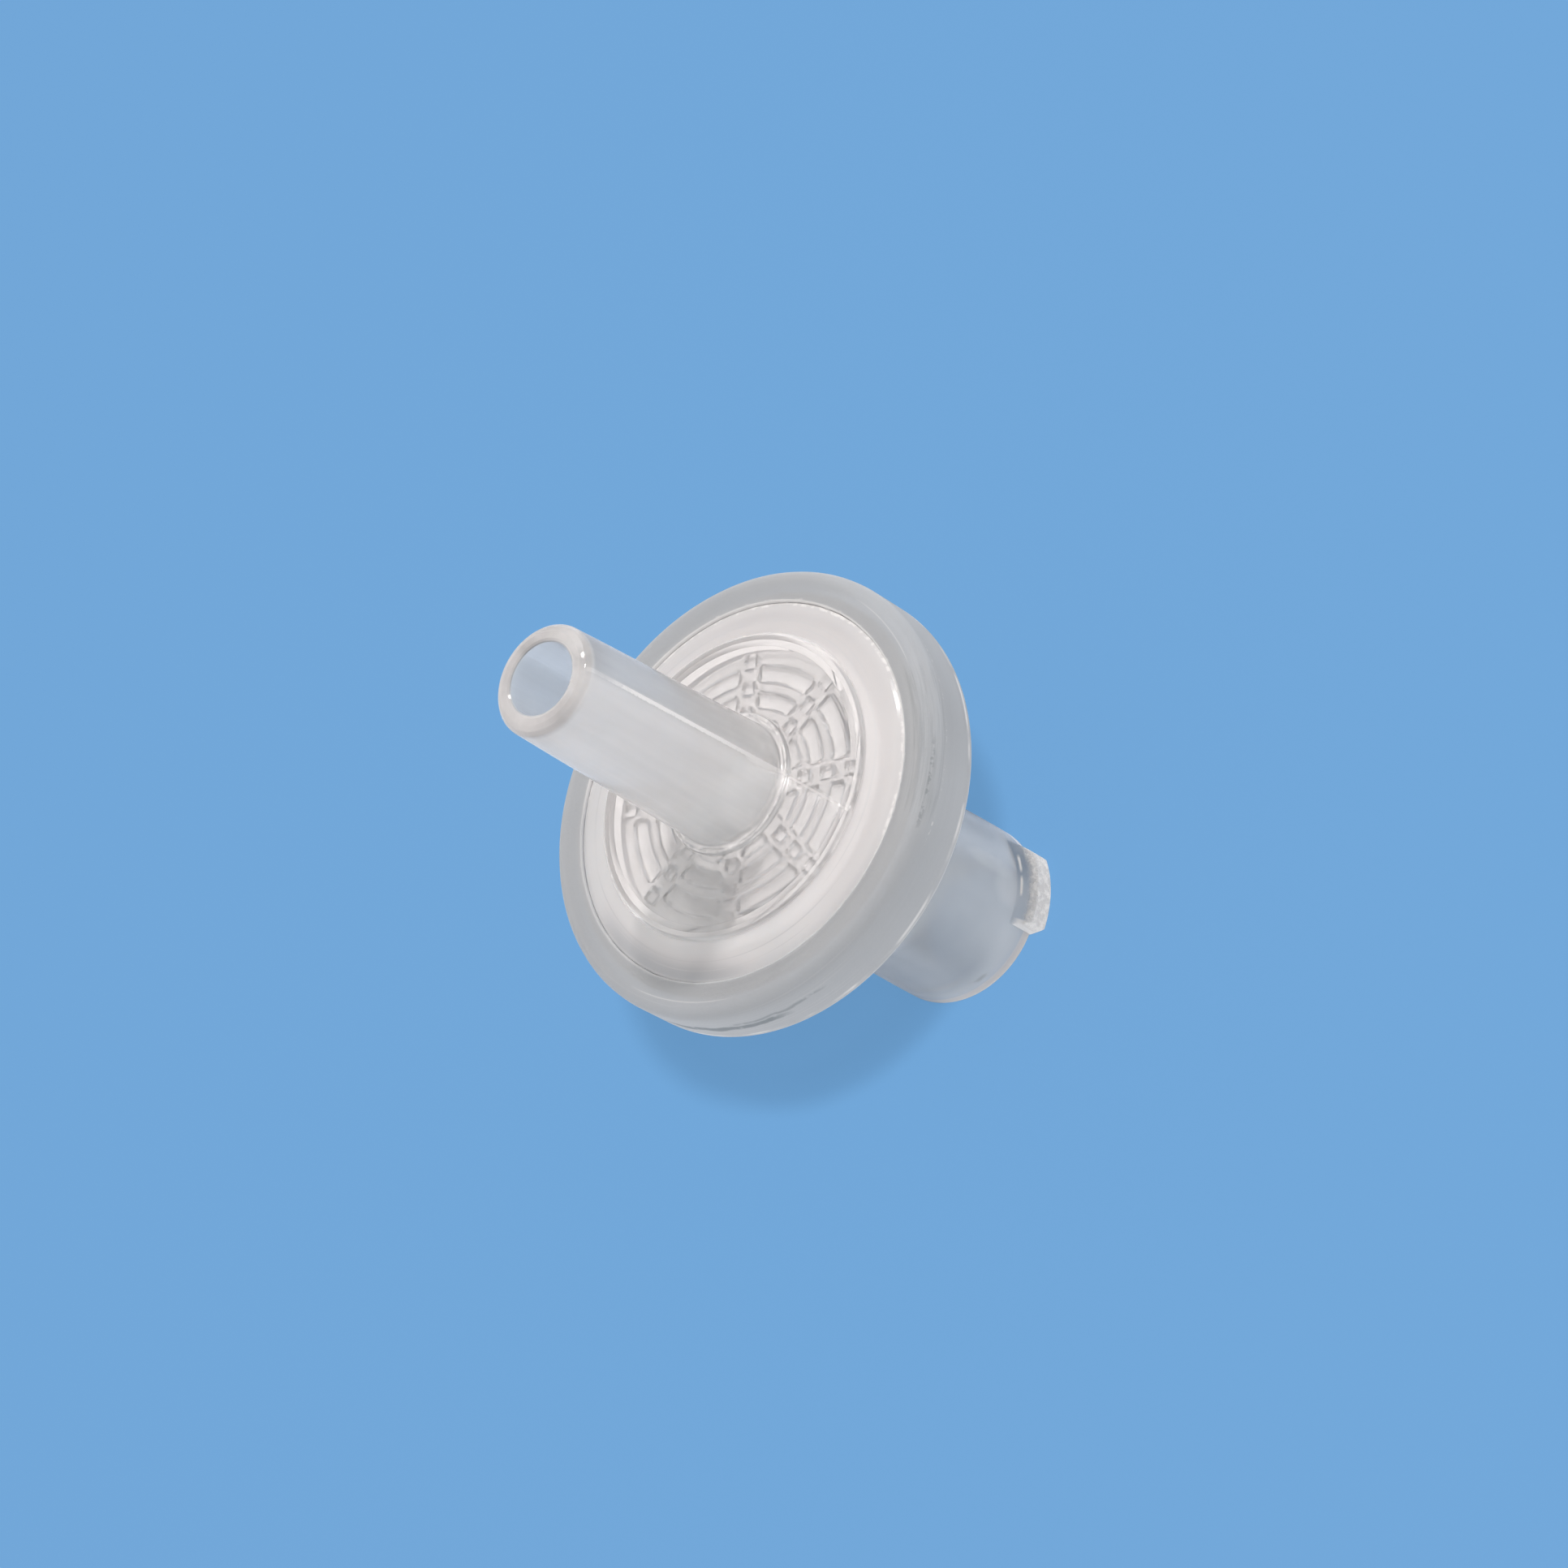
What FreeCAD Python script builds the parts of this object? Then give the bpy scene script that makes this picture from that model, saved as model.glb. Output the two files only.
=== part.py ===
"""Syringe filter for small samples.

An inlet half with a female luer lock and an outlet half with a male luer spout clamp a
round membrane between them, and a ring is moulded over the joint. The flow axis is +Z:
z = 0 is the end face of the luer lock, on which the filter stands, and the spout points
up. Sizes are in millimetres and degrees.
"""

import FreeCAD
import Part
import math
import os

AXIS = FreeCAD.Vector(0, 0, 1)
ORIGIN = FreeCAD.Vector(0, 0, 0)

# Luer cones lose 6 % of their length in diameter, so each side leans by half of that.
luer_lean = 0.03

# Outlet spout and the low hub at its foot.
spout_length = 10.07
spout_tip_radius = 1.97
spout_bore_radius = 1.285
spout_lip_round = 0.38
spout_root_cut = 0.16
hub_ledge = 0.05
hub_height = 0.2
hub_edge_cut = 0.08

# Inlet barrel, its socket and the hole that feeds the chamber.
barrel_length = 10.35
barrel_end_radius = 3.36
barrel_foot_radius = 3.24
barrel_edge_cut = 0.12
barrel_root_cut = 0.35
socket_mouth_radius = 2.15
socket_depth = 8.2
socket_lead_in = 0.12
feed_hole_radius = 0.8

# The two ears of the luer lock, each a short bar with a sloping flank.
ear_rise = 0.57
ear_crest_height = 0.85
ear_flank_height = 0.45
ear_half_angle = 29.0
ear_steep_end_angle = 5.0
ear_ramp_end_angle = 14.0

# Plates and chambers, one after the other along the flow axis.
inlet_plate = 1.5
inlet_chamber_height = 0.48
membrane_thickness = 0.15
outlet_chamber_height = 0.35
outlet_plate = 0.77

# Steps of the disc, each counted outwards from the one before.
chamber_radius = 5.0
clamp_width = 1.2
skirt_wall = 1.15
ring_wall = 0.77
plate_margin = 0.45
step_width = 0.14
step_height = 0.15
ring_grip = 0.49
outlet_land_drop = 0.6
inlet_land_drop = 0.32
inlet_flange_thickness = 0.75

# Ring moulded over the edges of both halves.
ring_lip_thickness = 0.38
ring_rise = 0.12
ring_front_round = 0.5
ring_back_cut = 0.4
moulding_gap = 0.02

# Outlet ribs that carry the membrane, parted by channels with posts in them.
rib_first_radius = 2.0
rib_width = 0.56
rib_pitch = 0.96
rib_corner_cut = 0.09
rib_wall_gap = 0.3
channel_count = 8
channel_width = 0.85
channel_turn = -7.0
post_side_gap = 0.2

# Inlet bars that spread the liquid.
bar_width = 0.5
bar_height = 0.3
bar_inner_gap = 1.2
bar_outer_gap = 0.4

# Radii that follow from the sizes above.
membrane_radius = chamber_radius + clamp_width
flange_radius = membrane_radius + skirt_wall
ring_radius = flange_radius + ring_wall
plate_radius = chamber_radius + plate_margin
land_inner_radius = plate_radius + step_width
land_outer_radius = flange_radius - ring_grip
spout_foot_radius = spout_tip_radius + luer_lean * (spout_length - hub_height)
hub_radius = spout_foot_radius + spout_root_cut + hub_ledge + hub_edge_cut
socket_floor_radius = socket_mouth_radius - luer_lean * socket_depth
post_width = channel_width - 2 * post_side_gap

# Levels that follow from the sizes above.
ear_height = ear_crest_height + ear_flank_height
inlet_face_z = barrel_length
inlet_floor_z = inlet_face_z + inlet_plate
membrane_bottom_z = inlet_floor_z + inlet_chamber_height
membrane_top_z = membrane_bottom_z + membrane_thickness
outlet_floor_z = membrane_top_z + outlet_chamber_height
outlet_face_z = outlet_floor_z + outlet_plate
hub_top_z = outlet_face_z + hub_height
spout_tip_z = outlet_face_z + spout_length
inlet_land_z = inlet_face_z + inlet_land_drop
outlet_land_z = outlet_face_z - outlet_land_drop
inlet_flange_z = inlet_land_z + ring_lip_thickness
outlet_flange_z = outlet_land_z - ring_lip_thickness
flange_joint_z = inlet_flange_z + inlet_flange_thickness
ring_bottom_z = inlet_land_z - ring_rise
ring_top_z = outlet_land_z + ring_rise


def section_wire(corners):
    """Closes a wire in the plane y = 0 through (radius, z) or (radius, z, rounding) corners."""
    points = [FreeCAD.Vector(corner[0], 0, corner[1]) for corner in corners]
    edges = []
    entries = []
    exits = []
    for number, here in enumerate(points):
        if len(corners[number]) == 2:
            entries.append(here)
            exits.append(here)
            continue
        rounding = corners[number][2]
        back = (points[number - 1] - here).normalize()
        ahead = (points[(number + 1) % len(points)] - here).normalize()
        half_angle = back.getAngle(ahead) / 2
        setback = rounding / math.tan(half_angle)
        bisector = (back + ahead).normalize()
        middle = here + bisector * (rounding / math.sin(half_angle) - rounding)
        entries.append(here + back * setback)
        exits.append(here + ahead * setback)
        edges.append(Part.Arc(entries[-1], middle, exits[-1]).toShape())
    for number, leaving in enumerate(exits):
        arriving = entries[(number + 1) % len(points)]
        edges.append(Part.LineSegment(leaving, arriving).toShape())
    return Part.Wire(Part.sortEdges(edges)[0])


def turned(corners):
    """Turns a section about the flow axis into a solid."""
    return Part.Face(section_wire(corners)).revolve(ORIGIN, AXIS, 360)


def polar_point(radius, angle):
    """A point of the plane z = 0 at a radius and an angle about the flow axis."""
    turn = math.radians(angle)
    return FreeCAD.Vector(radius * math.cos(turn), radius * math.sin(turn), 0)


def turned_copy(shape, angle):
    """A copy of a shape, turned about the flow axis."""
    copy = shape.copy()
    copy.rotate(ORIGIN, AXIS, angle)
    return copy


def around_channels(shape):
    """One copy of a shape for each radial channel."""
    spacing = 360.0 / channel_count
    return [turned_copy(shape, channel_turn + number * spacing) for number in range(channel_count)]


def radial_bar(inner, outer, width, z_low, z_high):
    """A straight bar along +X, centred on the axis plane."""
    corner = FreeCAD.Vector(inner, -width / 2, z_low)
    return Part.makeBox(outer - inner, width, z_high - z_low, corner)


def rib_inner_radii():
    """Inner radii of the rings of ribs: as many rings as the chamber has room for."""
    room = chamber_radius - rib_wall_gap - rib_first_radius - rib_width
    return [rib_first_radius + ring * rib_pitch for ring in range(int(room / rib_pitch) + 1)]


def one_rib(inner):
    """An arc-shaped rib that fills the sector between two channels, with cut corners."""
    outer = inner + rib_width
    spacing = 360.0 / channel_count
    base = FreeCAD.Vector(0, 0, membrane_top_z)
    sector = Part.makeCylinder(outer, outlet_chamber_height, base, AXIS, spacing)
    sector = sector.cut(Part.makeCylinder(inner, outlet_chamber_height, base, AXIS, spacing))
    channel = radial_bar(0, chamber_radius, channel_width, membrane_top_z, outlet_floor_z)
    rib = sector.cut(channel).cut(turned_copy(channel, spacing)).Solids[0]
    upright = [edge for edge in rib.Edges if abs(edge.tangentAt(edge.FirstParameter).z) > 0.999]
    return rib.makeChamfer(rib_corner_cut, upright)


def drainage_ribs():
    """All ribs and posts under the outlet plate."""
    supports = []
    for inner in rib_inner_radii():
        post_inner = inner + (rib_width + rib_pitch - post_width) / 2
        post = radial_bar(post_inner, post_inner + post_width, post_width, membrane_top_z, outlet_floor_z)
        supports += around_channels(one_rib(inner)) + around_channels(post)
    return supports


def one_ear():
    """The ear on +X: a wedge cut to the crest radius, with a sloping flank towards the disc."""
    ear_radius = barrel_end_radius + ear_rise
    crest_and_flank = turned([
        (0, 0),
        (ear_radius - barrel_edge_cut, 0),
        (ear_radius, barrel_edge_cut),
        (ear_radius, ear_crest_height),
        (barrel_end_radius, ear_height),
        (0, ear_height),
    ])
    reach = 2 * ear_radius
    sides = []
    for side, end_angle in ((-1, ear_steep_end_angle), (1, ear_ramp_end_angle)):
        foot = polar_point(barrel_end_radius, side * ear_half_angle)
        crest = polar_point(ear_radius, side * (ear_half_angle - end_angle))
        sides.append((foot, foot + (crest - foot).normalize() * reach))
    (low_foot, low_far), (high_foot, high_far) = sides
    outline = Part.makePolygon([ORIGIN, low_foot, low_far, high_far, high_foot, ORIGIN])
    return crest_and_flank.common(Part.Face(outline).extrude(AXIS * ear_height))


def make_inlet_housing():
    """Luer lock barrel with its ears, inlet plate, clamping rim and flange."""
    outside = turned([
        (0, 0),
        (barrel_end_radius - barrel_edge_cut, 0),
        (barrel_end_radius, barrel_edge_cut),
        (barrel_foot_radius, inlet_face_z - barrel_root_cut),
        (barrel_foot_radius + barrel_root_cut, inlet_face_z),
        (plate_radius, inlet_face_z),
        (land_outer_radius, inlet_land_z),
        (land_outer_radius, inlet_flange_z),
        (flange_radius, inlet_flange_z),
        (flange_radius, flange_joint_z),
        (membrane_radius, flange_joint_z),
        (membrane_radius, membrane_bottom_z),
        (chamber_radius, membrane_bottom_z),
        (chamber_radius, inlet_floor_z),
        (0, inlet_floor_z),
    ])
    passage = turned([
        (0, 0),
        (socket_mouth_radius + socket_lead_in, 0),
        (socket_mouth_radius, socket_lead_in),
        (socket_floor_radius, socket_depth),
        (feed_hole_radius, socket_depth),
        (feed_hole_radius, inlet_floor_z),
        (0, inlet_floor_z),
    ])
    ear = one_ear()
    bar = radial_bar(
        feed_hole_radius + bar_inner_gap, chamber_radius - bar_outer_gap,
        bar_width, inlet_floor_z, inlet_floor_z + bar_height,
    )
    body = outside.multiFuse([ear, turned_copy(ear, 180)] + around_channels(bar))
    return body.cut(passage).removeSplitter()


def make_outlet_housing():
    """Spout on its hub, stepped outlet plate, sloping land, flange and skirt."""
    root_lean = luer_lean * spout_root_cut
    body = turned([
        (spout_bore_radius, spout_tip_z),
        (spout_bore_radius, outlet_floor_z),
        (chamber_radius, outlet_floor_z),
        (chamber_radius, membrane_top_z),
        (membrane_radius + moulding_gap, membrane_top_z),
        (membrane_radius + moulding_gap, flange_joint_z),
        (flange_radius, flange_joint_z),
        (flange_radius, outlet_flange_z),
        (land_outer_radius, outlet_flange_z),
        (land_outer_radius, outlet_land_z),
        (land_inner_radius, outlet_face_z - step_height),
        (plate_radius, outlet_face_z),
        (hub_radius, outlet_face_z),
        (hub_radius, hub_top_z - hub_edge_cut),
        (hub_radius - hub_edge_cut, hub_top_z),
        (spout_foot_radius + spout_root_cut, hub_top_z),
        (spout_foot_radius - root_lean, hub_top_z + spout_root_cut),
        (spout_tip_radius, spout_tip_z, spout_lip_round),
    ])
    return body.multiFuse(drainage_ribs()).removeSplitter()


def make_filter_membrane():
    """The membrane disc, clamped at its edge between the two halves."""
    base = FreeCAD.Vector(0, 0, membrane_bottom_z)
    return Part.makeCylinder(membrane_radius, membrane_thickness, base)


def make_sealing_ring():
    """The ring with a C-shaped section that holds both flanges together."""
    lip_radius = land_outer_radius + moulding_gap
    groove_radius = flange_radius + moulding_gap
    return turned([
        (lip_radius, ring_bottom_z),
        (ring_radius - ring_back_cut, ring_bottom_z),
        (ring_radius, ring_bottom_z + ring_back_cut),
        (ring_radius, ring_top_z, ring_front_round),
        (lip_radius, ring_top_z),
        (lip_radius, outlet_flange_z),
        (groove_radius, outlet_flange_z),
        (groove_radius, inlet_flange_z),
        (lip_radius, inlet_flange_z),
    ])


PIECES = {
    "inlet_housing": make_inlet_housing,
    "filter_membrane": make_filter_membrane,
    "outlet_housing": make_outlet_housing,
    "sealing_ring": make_sealing_ring,
}

os.makedirs("parts", exist_ok=True)
for name, make_piece in PIECES.items():
    piece = make_piece()
    piece.exportStep("parts/" + name + ".step")
    print(f"{name}: {piece.Volume:.1f} mm3, {len(piece.Faces)} faces")
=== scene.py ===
# %% [markdown]
# # A syringe filter, moulded in natural polypropylene
#
# The filter is a disc of milky plastic with a spout on one face and a luer lock barrel
# on the other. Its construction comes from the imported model, which is loaded here as a
# fixed frame: its boxes give the ends and the outer radius of every piece. The solids of
# that model are cut into flat facets, and see-through plastic shows each facet twice, so
# every piece is made again as a fine smooth surface.

# %% Load the frame
import bpy
import math
import numpy as np
from mathutils import Matrix, Vector


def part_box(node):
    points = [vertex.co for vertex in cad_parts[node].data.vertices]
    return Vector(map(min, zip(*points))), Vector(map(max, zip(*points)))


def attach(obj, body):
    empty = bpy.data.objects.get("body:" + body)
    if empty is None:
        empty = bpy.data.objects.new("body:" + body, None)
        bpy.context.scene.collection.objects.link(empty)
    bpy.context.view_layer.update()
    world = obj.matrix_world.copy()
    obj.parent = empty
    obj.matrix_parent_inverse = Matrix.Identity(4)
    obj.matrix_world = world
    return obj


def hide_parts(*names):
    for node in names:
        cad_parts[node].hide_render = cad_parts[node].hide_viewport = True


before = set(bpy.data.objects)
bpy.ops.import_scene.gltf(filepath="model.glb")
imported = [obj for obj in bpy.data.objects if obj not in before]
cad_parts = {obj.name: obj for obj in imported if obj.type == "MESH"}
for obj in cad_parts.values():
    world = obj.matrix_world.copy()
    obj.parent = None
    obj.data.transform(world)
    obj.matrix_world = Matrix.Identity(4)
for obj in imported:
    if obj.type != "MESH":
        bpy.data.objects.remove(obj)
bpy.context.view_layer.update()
MM = 0.001
TURN = 2 * np.pi


def span(node):
    """The lowest z, the highest z and the largest y of a node, in millimetres."""
    low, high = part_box(node)
    return low.z / MM, high.z / MM, high.y / MM


inlet_bottom, membrane_bottom, flange_radius = span("inlet_housing")
flange_joint, spout_tip, _ = span("outlet_housing")
_, membrane_top, membrane_radius = span("filter_membrane")
ring_bottom, ring_top, ring_radius = span("sealing_ring")
print(f"ring from {ring_bottom:.2f} to {ring_top:.2f}, radius {ring_radius:.2f}, tip at {spout_tip:.2f}")

# %% [markdown]
# ## Sizes that the boxes don't give
#
# A moulding is a chain of plain faces joined by small radii. These are the sizes of
# those faces in millimetres. Each level is counted from a level of the frame, so a
# change of the frame carries it along.

# %% Levels and radii of the disc
moulding_gap = 0.02
ring_rise = 0.12
lip_thickness = 0.38
outlet_land = ring_top - ring_rise
inlet_land = ring_bottom + ring_rise
outlet_flange = outlet_land - lip_thickness
inlet_flange = inlet_land + lip_thickness
outlet_face = outlet_land + 0.6
inlet_face = inlet_land - 0.32
outlet_floor = membrane_top + 0.35
inlet_floor = membrane_bottom - 0.48
chamber_radius = 5.0
plate_radius = 5.45
land_inner_radius = 5.59
land_outer_radius = 6.86
step_height = 0.15
edge_round = 0.03
corner_round = 0.02
flange_round = 0.1
print(f"outlet face at {outlet_face:.2f}, inlet face at {inlet_face:.2f}")

# %% [markdown]
# ## A section with rounded corners
#
# Every piece here is a section carried round the flow axis. A section could be a curve
# object, but then its points would be out of reach for the ribs and ears that come
# later. So it is worked out as an array: straight runs, and an arc at each corner.

# %% Outline of a section
nearly_straight = math.radians(88)


def outline(corners, arc_step=14.0):
    """Points (radius, z) along straight runs through (radius, z, rounding) corners.

    At a rounded corner the arc's centre lies on the corner's bisector, at the rounding
    divided by the sine of half the corner's angle, and the arc turns by 180 degrees less
    that angle, with a point about every arc_step degrees. The first and the last corner
    are plain ends.
    """
    points = [np.array(corners[0][:2], float)]
    for before, (radius, z, rounding), after in zip(corners, corners[1:], corners[2:]):
        here = np.array((radius, z), float)
        back = np.array(before[:2]) - here
        ahead = np.array(after[:2]) - here
        back /= np.linalg.norm(back)
        ahead /= np.linalg.norm(ahead)
        half_angle = math.acos(np.clip(back @ ahead, -1, 1)) / 2
        if rounding == 0 or half_angle > nearly_straight:
            points.append(here)
            continue
        bisector = (back + ahead) / np.linalg.norm(back + ahead)
        centre = here + bisector * rounding / math.sin(half_angle)
        sweep = math.pi / 2 - half_angle
        steps = max(3, round(math.degrees(2 * sweep) / arc_step))
        side = np.sign(back[0] * ahead[1] - back[1] * ahead[0])
        turn = np.linspace(-sweep, sweep, steps + 1)[:, None] * -side
        normal = np.array((-bisector[1], bisector[0]))
        points.extend(centre - rounding * (bisector * np.cos(turn) + normal * np.sin(turn)))
    points.append(np.array(corners[-1][:2], float))
    return np.array(points)


# %% [markdown]
# ## From a grid of points to a closed skin
#
# Rows follow the section and columns go round the axis. A section that returns to its
# start gives a skin like a tyre, with no seam and no pole. The volume inside is added up
# from the faces: it is positive only when the faces point outwards, so printing it is
# also the test for that.

# %% Skin
def full_turn(columns):
    """Evenly spaced angles once round the axis."""
    return np.linspace(0, TURN, columns, endpoint=False)


def enclosed_volume(points, faces):
    """Sum of a . (b x c) / 6 over the triangles (a, b, c) of faces with three or four corners."""
    total = 0.0
    for second in range(1, faces.shape[1] - 1):
        a, b, c = (points[faces[:, corner]] for corner in (0, second, second + 1))
        total += np.einsum("ij,ij->", a, np.cross(b, c)) / 6
    return total


def add_piece(name, points, *face_groups):
    """A smooth-shaded object from points in millimetres and one or more arrays of faces."""
    mesh = bpy.data.meshes.new(name)
    mesh.from_pydata(points * MM, [], [face for group in face_groups for face in group.tolist()])
    mesh.shade_smooth()
    piece = bpy.data.objects.new(name, mesh)
    bpy.context.scene.collection.objects.link(piece)
    volume = sum(enclosed_volume(points, group) for group in face_groups)
    print(f"{name}: {len(mesh.polygons)} faces around {volume:.1f} cubic millimetres")
    return piece


def around_axis(radius, angle, z):
    """The points (radius times cosine, radius times sine, z) of each row and column."""
    return np.stack(np.broadcast_arrays(radius * np.cos(angle), radius * np.sin(angle), z), axis=-1)


def skin(name, points):
    """A piece from a grid of points whose last row joins the first and whose columns go round."""
    index = np.arange(points[..., 0].size).reshape(points.shape[:2])
    upper = np.roll(index, -1, axis=0)
    quads = np.stack((index, np.roll(index, -1, axis=1), np.roll(upper, -1, axis=1), upper), axis=-1)
    return add_piece(name, points.reshape(-1, 3), quads.reshape(-1, 4))


# %% [markdown]
# ## Ribs and posts
#
# The drainage side is the part that takes the most skill in the mould: rings of
# arc-shaped ribs that carry the membrane, parted by straight channels, with a square
# post in each channel between the rings. Boolean cuts would leave ragged edges in a
# clear part. Here the ribs are a height over the chamber's ceiling, a number from 0 to 1
# at each radius and angle, and the rows and columns of the grid run along their edges.

# %% The height of the ribs
rib_first_radius = 2.0
rib_width = 0.56
rib_pitch = 0.96
rib_rings = 3
rib_corner = 0.13
rib_flank = 0.11
channel_count = 8
channel_width = 0.85
channel_turn = np.radians(-7.0)
post_width = 0.45
post_corner = 0.04
post_flank = 0.06
sector = TURN / channel_count
rib_middles = rib_first_radius + rib_width / 2 + rib_pitch * np.arange(rib_rings)


def box_distance(across, along, rounding):
    """Distance to a box outline with round corners, from the distances to its two sides.

    Beyond a corner it is the length of both excesses, elsewhere it is the larger one.
    """
    across = across + rounding
    along = along + rounding
    outside = np.hypot(np.maximum(across, 0), np.maximum(along, 0))
    return outside + np.minimum(np.maximum(across, along), 0) - rounding


def flank_rise(distance, width):
    """1 inside an outline and 0 outside, with an S-shaped flank of a given width across it."""
    rise = np.clip(0.5 - distance / width, 0, 1)
    return rise * rise * (3 - 2 * rise)


def rib_height(radius, angle):
    """1 on top of a rib or a post, 0 between them.

    The angle is folded into one sector round the nearest channel. Across a rib counts the
    distance from its middle radius, along it the distance to the channel's straight side.
    """
    fold = (angle - channel_turn + sector / 2) % sector - sector / 2
    aside = radius * np.abs(np.sin(fold))
    height = np.zeros(np.broadcast(radius, angle).shape)
    for middle in rib_middles:
        rib = box_distance(np.abs(radius - middle) - rib_width / 2, channel_width / 2 - aside, rib_corner)
        off_post = np.abs(radius - middle - rib_pitch / 2)
        post = box_distance(off_post - post_width / 2, aside - post_width / 2, post_corner)
        rise = np.maximum(flank_rise(rib, rib_flank), flank_rise(post, post_flank))
        height = np.maximum(height, rise)
    return height


# %% [markdown]
# The grid is only as good as its lines. A flank needs a few rows or columns across it,
# and the flat tops need none, so the lines are gathered at the edges and spread between.

# %% Lines of the ribbed grid
across_flank = np.linspace(-0.52, 0.52, 5)
closest_rows = 0.004


def around_edge(edges, width):
    """Five values across each edge, over a little more than the width of its flank."""
    return (np.asarray(edges)[..., None] + across_flank * width).ravel()


def rib_rows(start, stop):
    """Radii from start to stop, close together at both sides of each rib and each post."""
    ribs = around_edge([rib_middles - rib_width / 2, rib_middles + rib_width / 2], rib_flank)
    post_middles = rib_middles + rib_pitch / 2
    posts = around_edge([post_middles - post_width / 2, post_middles + post_width / 2], post_flank)
    before_ribs = np.linspace(start, rib_first_radius - 0.15, 5)
    after_posts = np.linspace(chamber_radius - 0.04, stop, 2)
    rows = np.concatenate([ribs, posts, before_ribs, rib_middles, after_posts])
    rows = np.unique(np.round(rows, 3))
    return rows[np.concatenate([[True], np.diff(rows) > closest_rows])]


def sector_columns(radius):
    """Angles round the axis at each radius, whose lines run along the channels' straight sides.

    Beside a channel a line keeps its distance d from the middle, so its angle is
    asin(d / radius). A few more lines share out the rest of the sector.
    """
    past_channel = channel_width / 2 + np.array([0.15, 0.2])
    shares_of_rest = np.array([0.2, 0.45, 0.72])
    lines = np.concatenate([[0.1], around_edge(post_width / 2, post_flank),
                            around_edge(channel_width / 2, rib_flank), past_channel])
    reach = np.clip(radius, rib_first_radius, chamber_radius)[:, None]
    beside = np.arcsin(lines / reach)
    rest = beside[:, -1:] + (sector / 2 - beside[:, -1:]) * shares_of_rest
    half = np.concatenate([beside, rest], axis=1)
    middle = np.zeros_like(reach)
    whole = np.concatenate([middle, half, middle + sector / 2, sector - half[:, ::-1]], axis=1)
    starts = channel_turn + sector * np.arange(channel_count)
    return (whole[:, None, :] + starts[None, :, None]).reshape(len(radius), -1)


# %% [markdown]
# ## Outlet housing
#
# This is one moulding: the spout with its luer cone, a low hub, the outlet plate with a
# fine step, the sloping land and the flange that the ring grips. Its section goes once
# round: along the ribbed ceiling of the chamber, out to the flange, back over the face, up
# the spout and down through the bore. Two fine lines, left by the lathe that cut the mould,
# run round the edge of the plate. The spout's lip and the land slope by about 20 degrees,
# where a small lamp leaves glints. Smooth shading bends the light near a corner, so a row
# of points inside each end of the land keeps it straight.

# %% Section of the outlet housing
luer_lean = 0.03
spout_tip_radius = 1.97
spout_bore_radius = 1.285
bore_chamfer_width = 0.12
bore_chamfer_depth = 0.045
foot_round = 0.16
hub_flat = 0.05
hub_round = 0.08
hub_top = outlet_face + 0.2
spout_foot_radius = spout_tip_radius + luer_lean * (spout_tip - hub_top)
hub_radius = spout_foot_radius + foot_round + hub_flat + hub_round
turned_line_radii = (5.28, 5.04)
turned_line_width = 0.1
turned_line_depth = 0.02
rib_clearance = 0.01
land_slope = (outlet_face - step_height - outlet_land) / (land_outer_radius - land_inner_radius)

ceiling = rib_rows(spout_bore_radius + 0.06, chamber_radius - 0.02)
turned_lines = []
for line_radius in turned_line_radii:
    turned_lines += [(line_radius + turned_line_width / 2, outlet_face, 0),
                     (line_radius, outlet_face - turned_line_depth, edge_round),
                     (line_radius - turned_line_width / 2, outlet_face, 0)]
spout_lip = [(spout_tip_radius - inwards, spout_tip - down, rounding)
             for inwards, down, rounding in ((0, 0.22, 0.2), (0.14, 0.07, 0.12), (0.33, 0, 0.06))]
outlet_section = outline([
    *[(radius, outlet_floor, 0) for radius in ceiling],
    (chamber_radius, outlet_floor, 0.01),
    (chamber_radius, membrane_top, edge_round),
    (membrane_radius + moulding_gap, membrane_top, corner_round),
    (membrane_radius + moulding_gap, flange_joint, corner_round),
    (flange_radius, flange_joint, edge_round),
    (flange_radius, outlet_flange, flange_round),
    (land_outer_radius, outlet_flange, corner_round),
    (land_outer_radius, outlet_land, edge_round),
    *[(land_outer_radius - inwards, outlet_land + land_slope * inwards, 0) for inwards in (0.06, 1.19)],
    (land_inner_radius, outlet_face - step_height, 0.05),
    (plate_radius, outlet_face, 0.05),
    *turned_lines,
    *[(radius, outlet_face, 0) for radius in (4.2, 3.4)],
    (hub_radius, outlet_face, 0.06),
    (hub_radius - 0.02, hub_top, hub_round),
    (spout_foot_radius, hub_top, foot_round),
    *[(spout_tip_radius + luer_lean * down, spout_tip - down, 0) for down in (8, 6, 4, 2)],
    *spout_lip,
    (spout_bore_radius + bore_chamfer_width, spout_tip, edge_round),
    (spout_bore_radius, spout_tip - bore_chamfer_depth, corner_round),
    *[(spout_bore_radius, spout_tip - down, 0) for down in (2, 4, 6, 8)],
    (spout_bore_radius, outlet_floor, 0.05),
    (ceiling[0], outlet_floor, 0),
])[:-1]
print(len(ceiling), "rows of", len(outlet_section), "lie on the ribbed ceiling")

# %% Make the outlet housing
radius = outlet_section[:, :1]
angle = sector_columns(outlet_section[:, 0])
on_ceiling = (np.arange(len(radius)) < len(ceiling))[:, None]
full_drop = outlet_floor - membrane_top - rib_clearance
drop = np.where(on_ceiling, rib_height(radius, angle), 0) * full_drop
outlet = skin("outlet_housing_smooth", around_axis(radius, angle, outlet_section[:, 1:] - drop))

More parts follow.
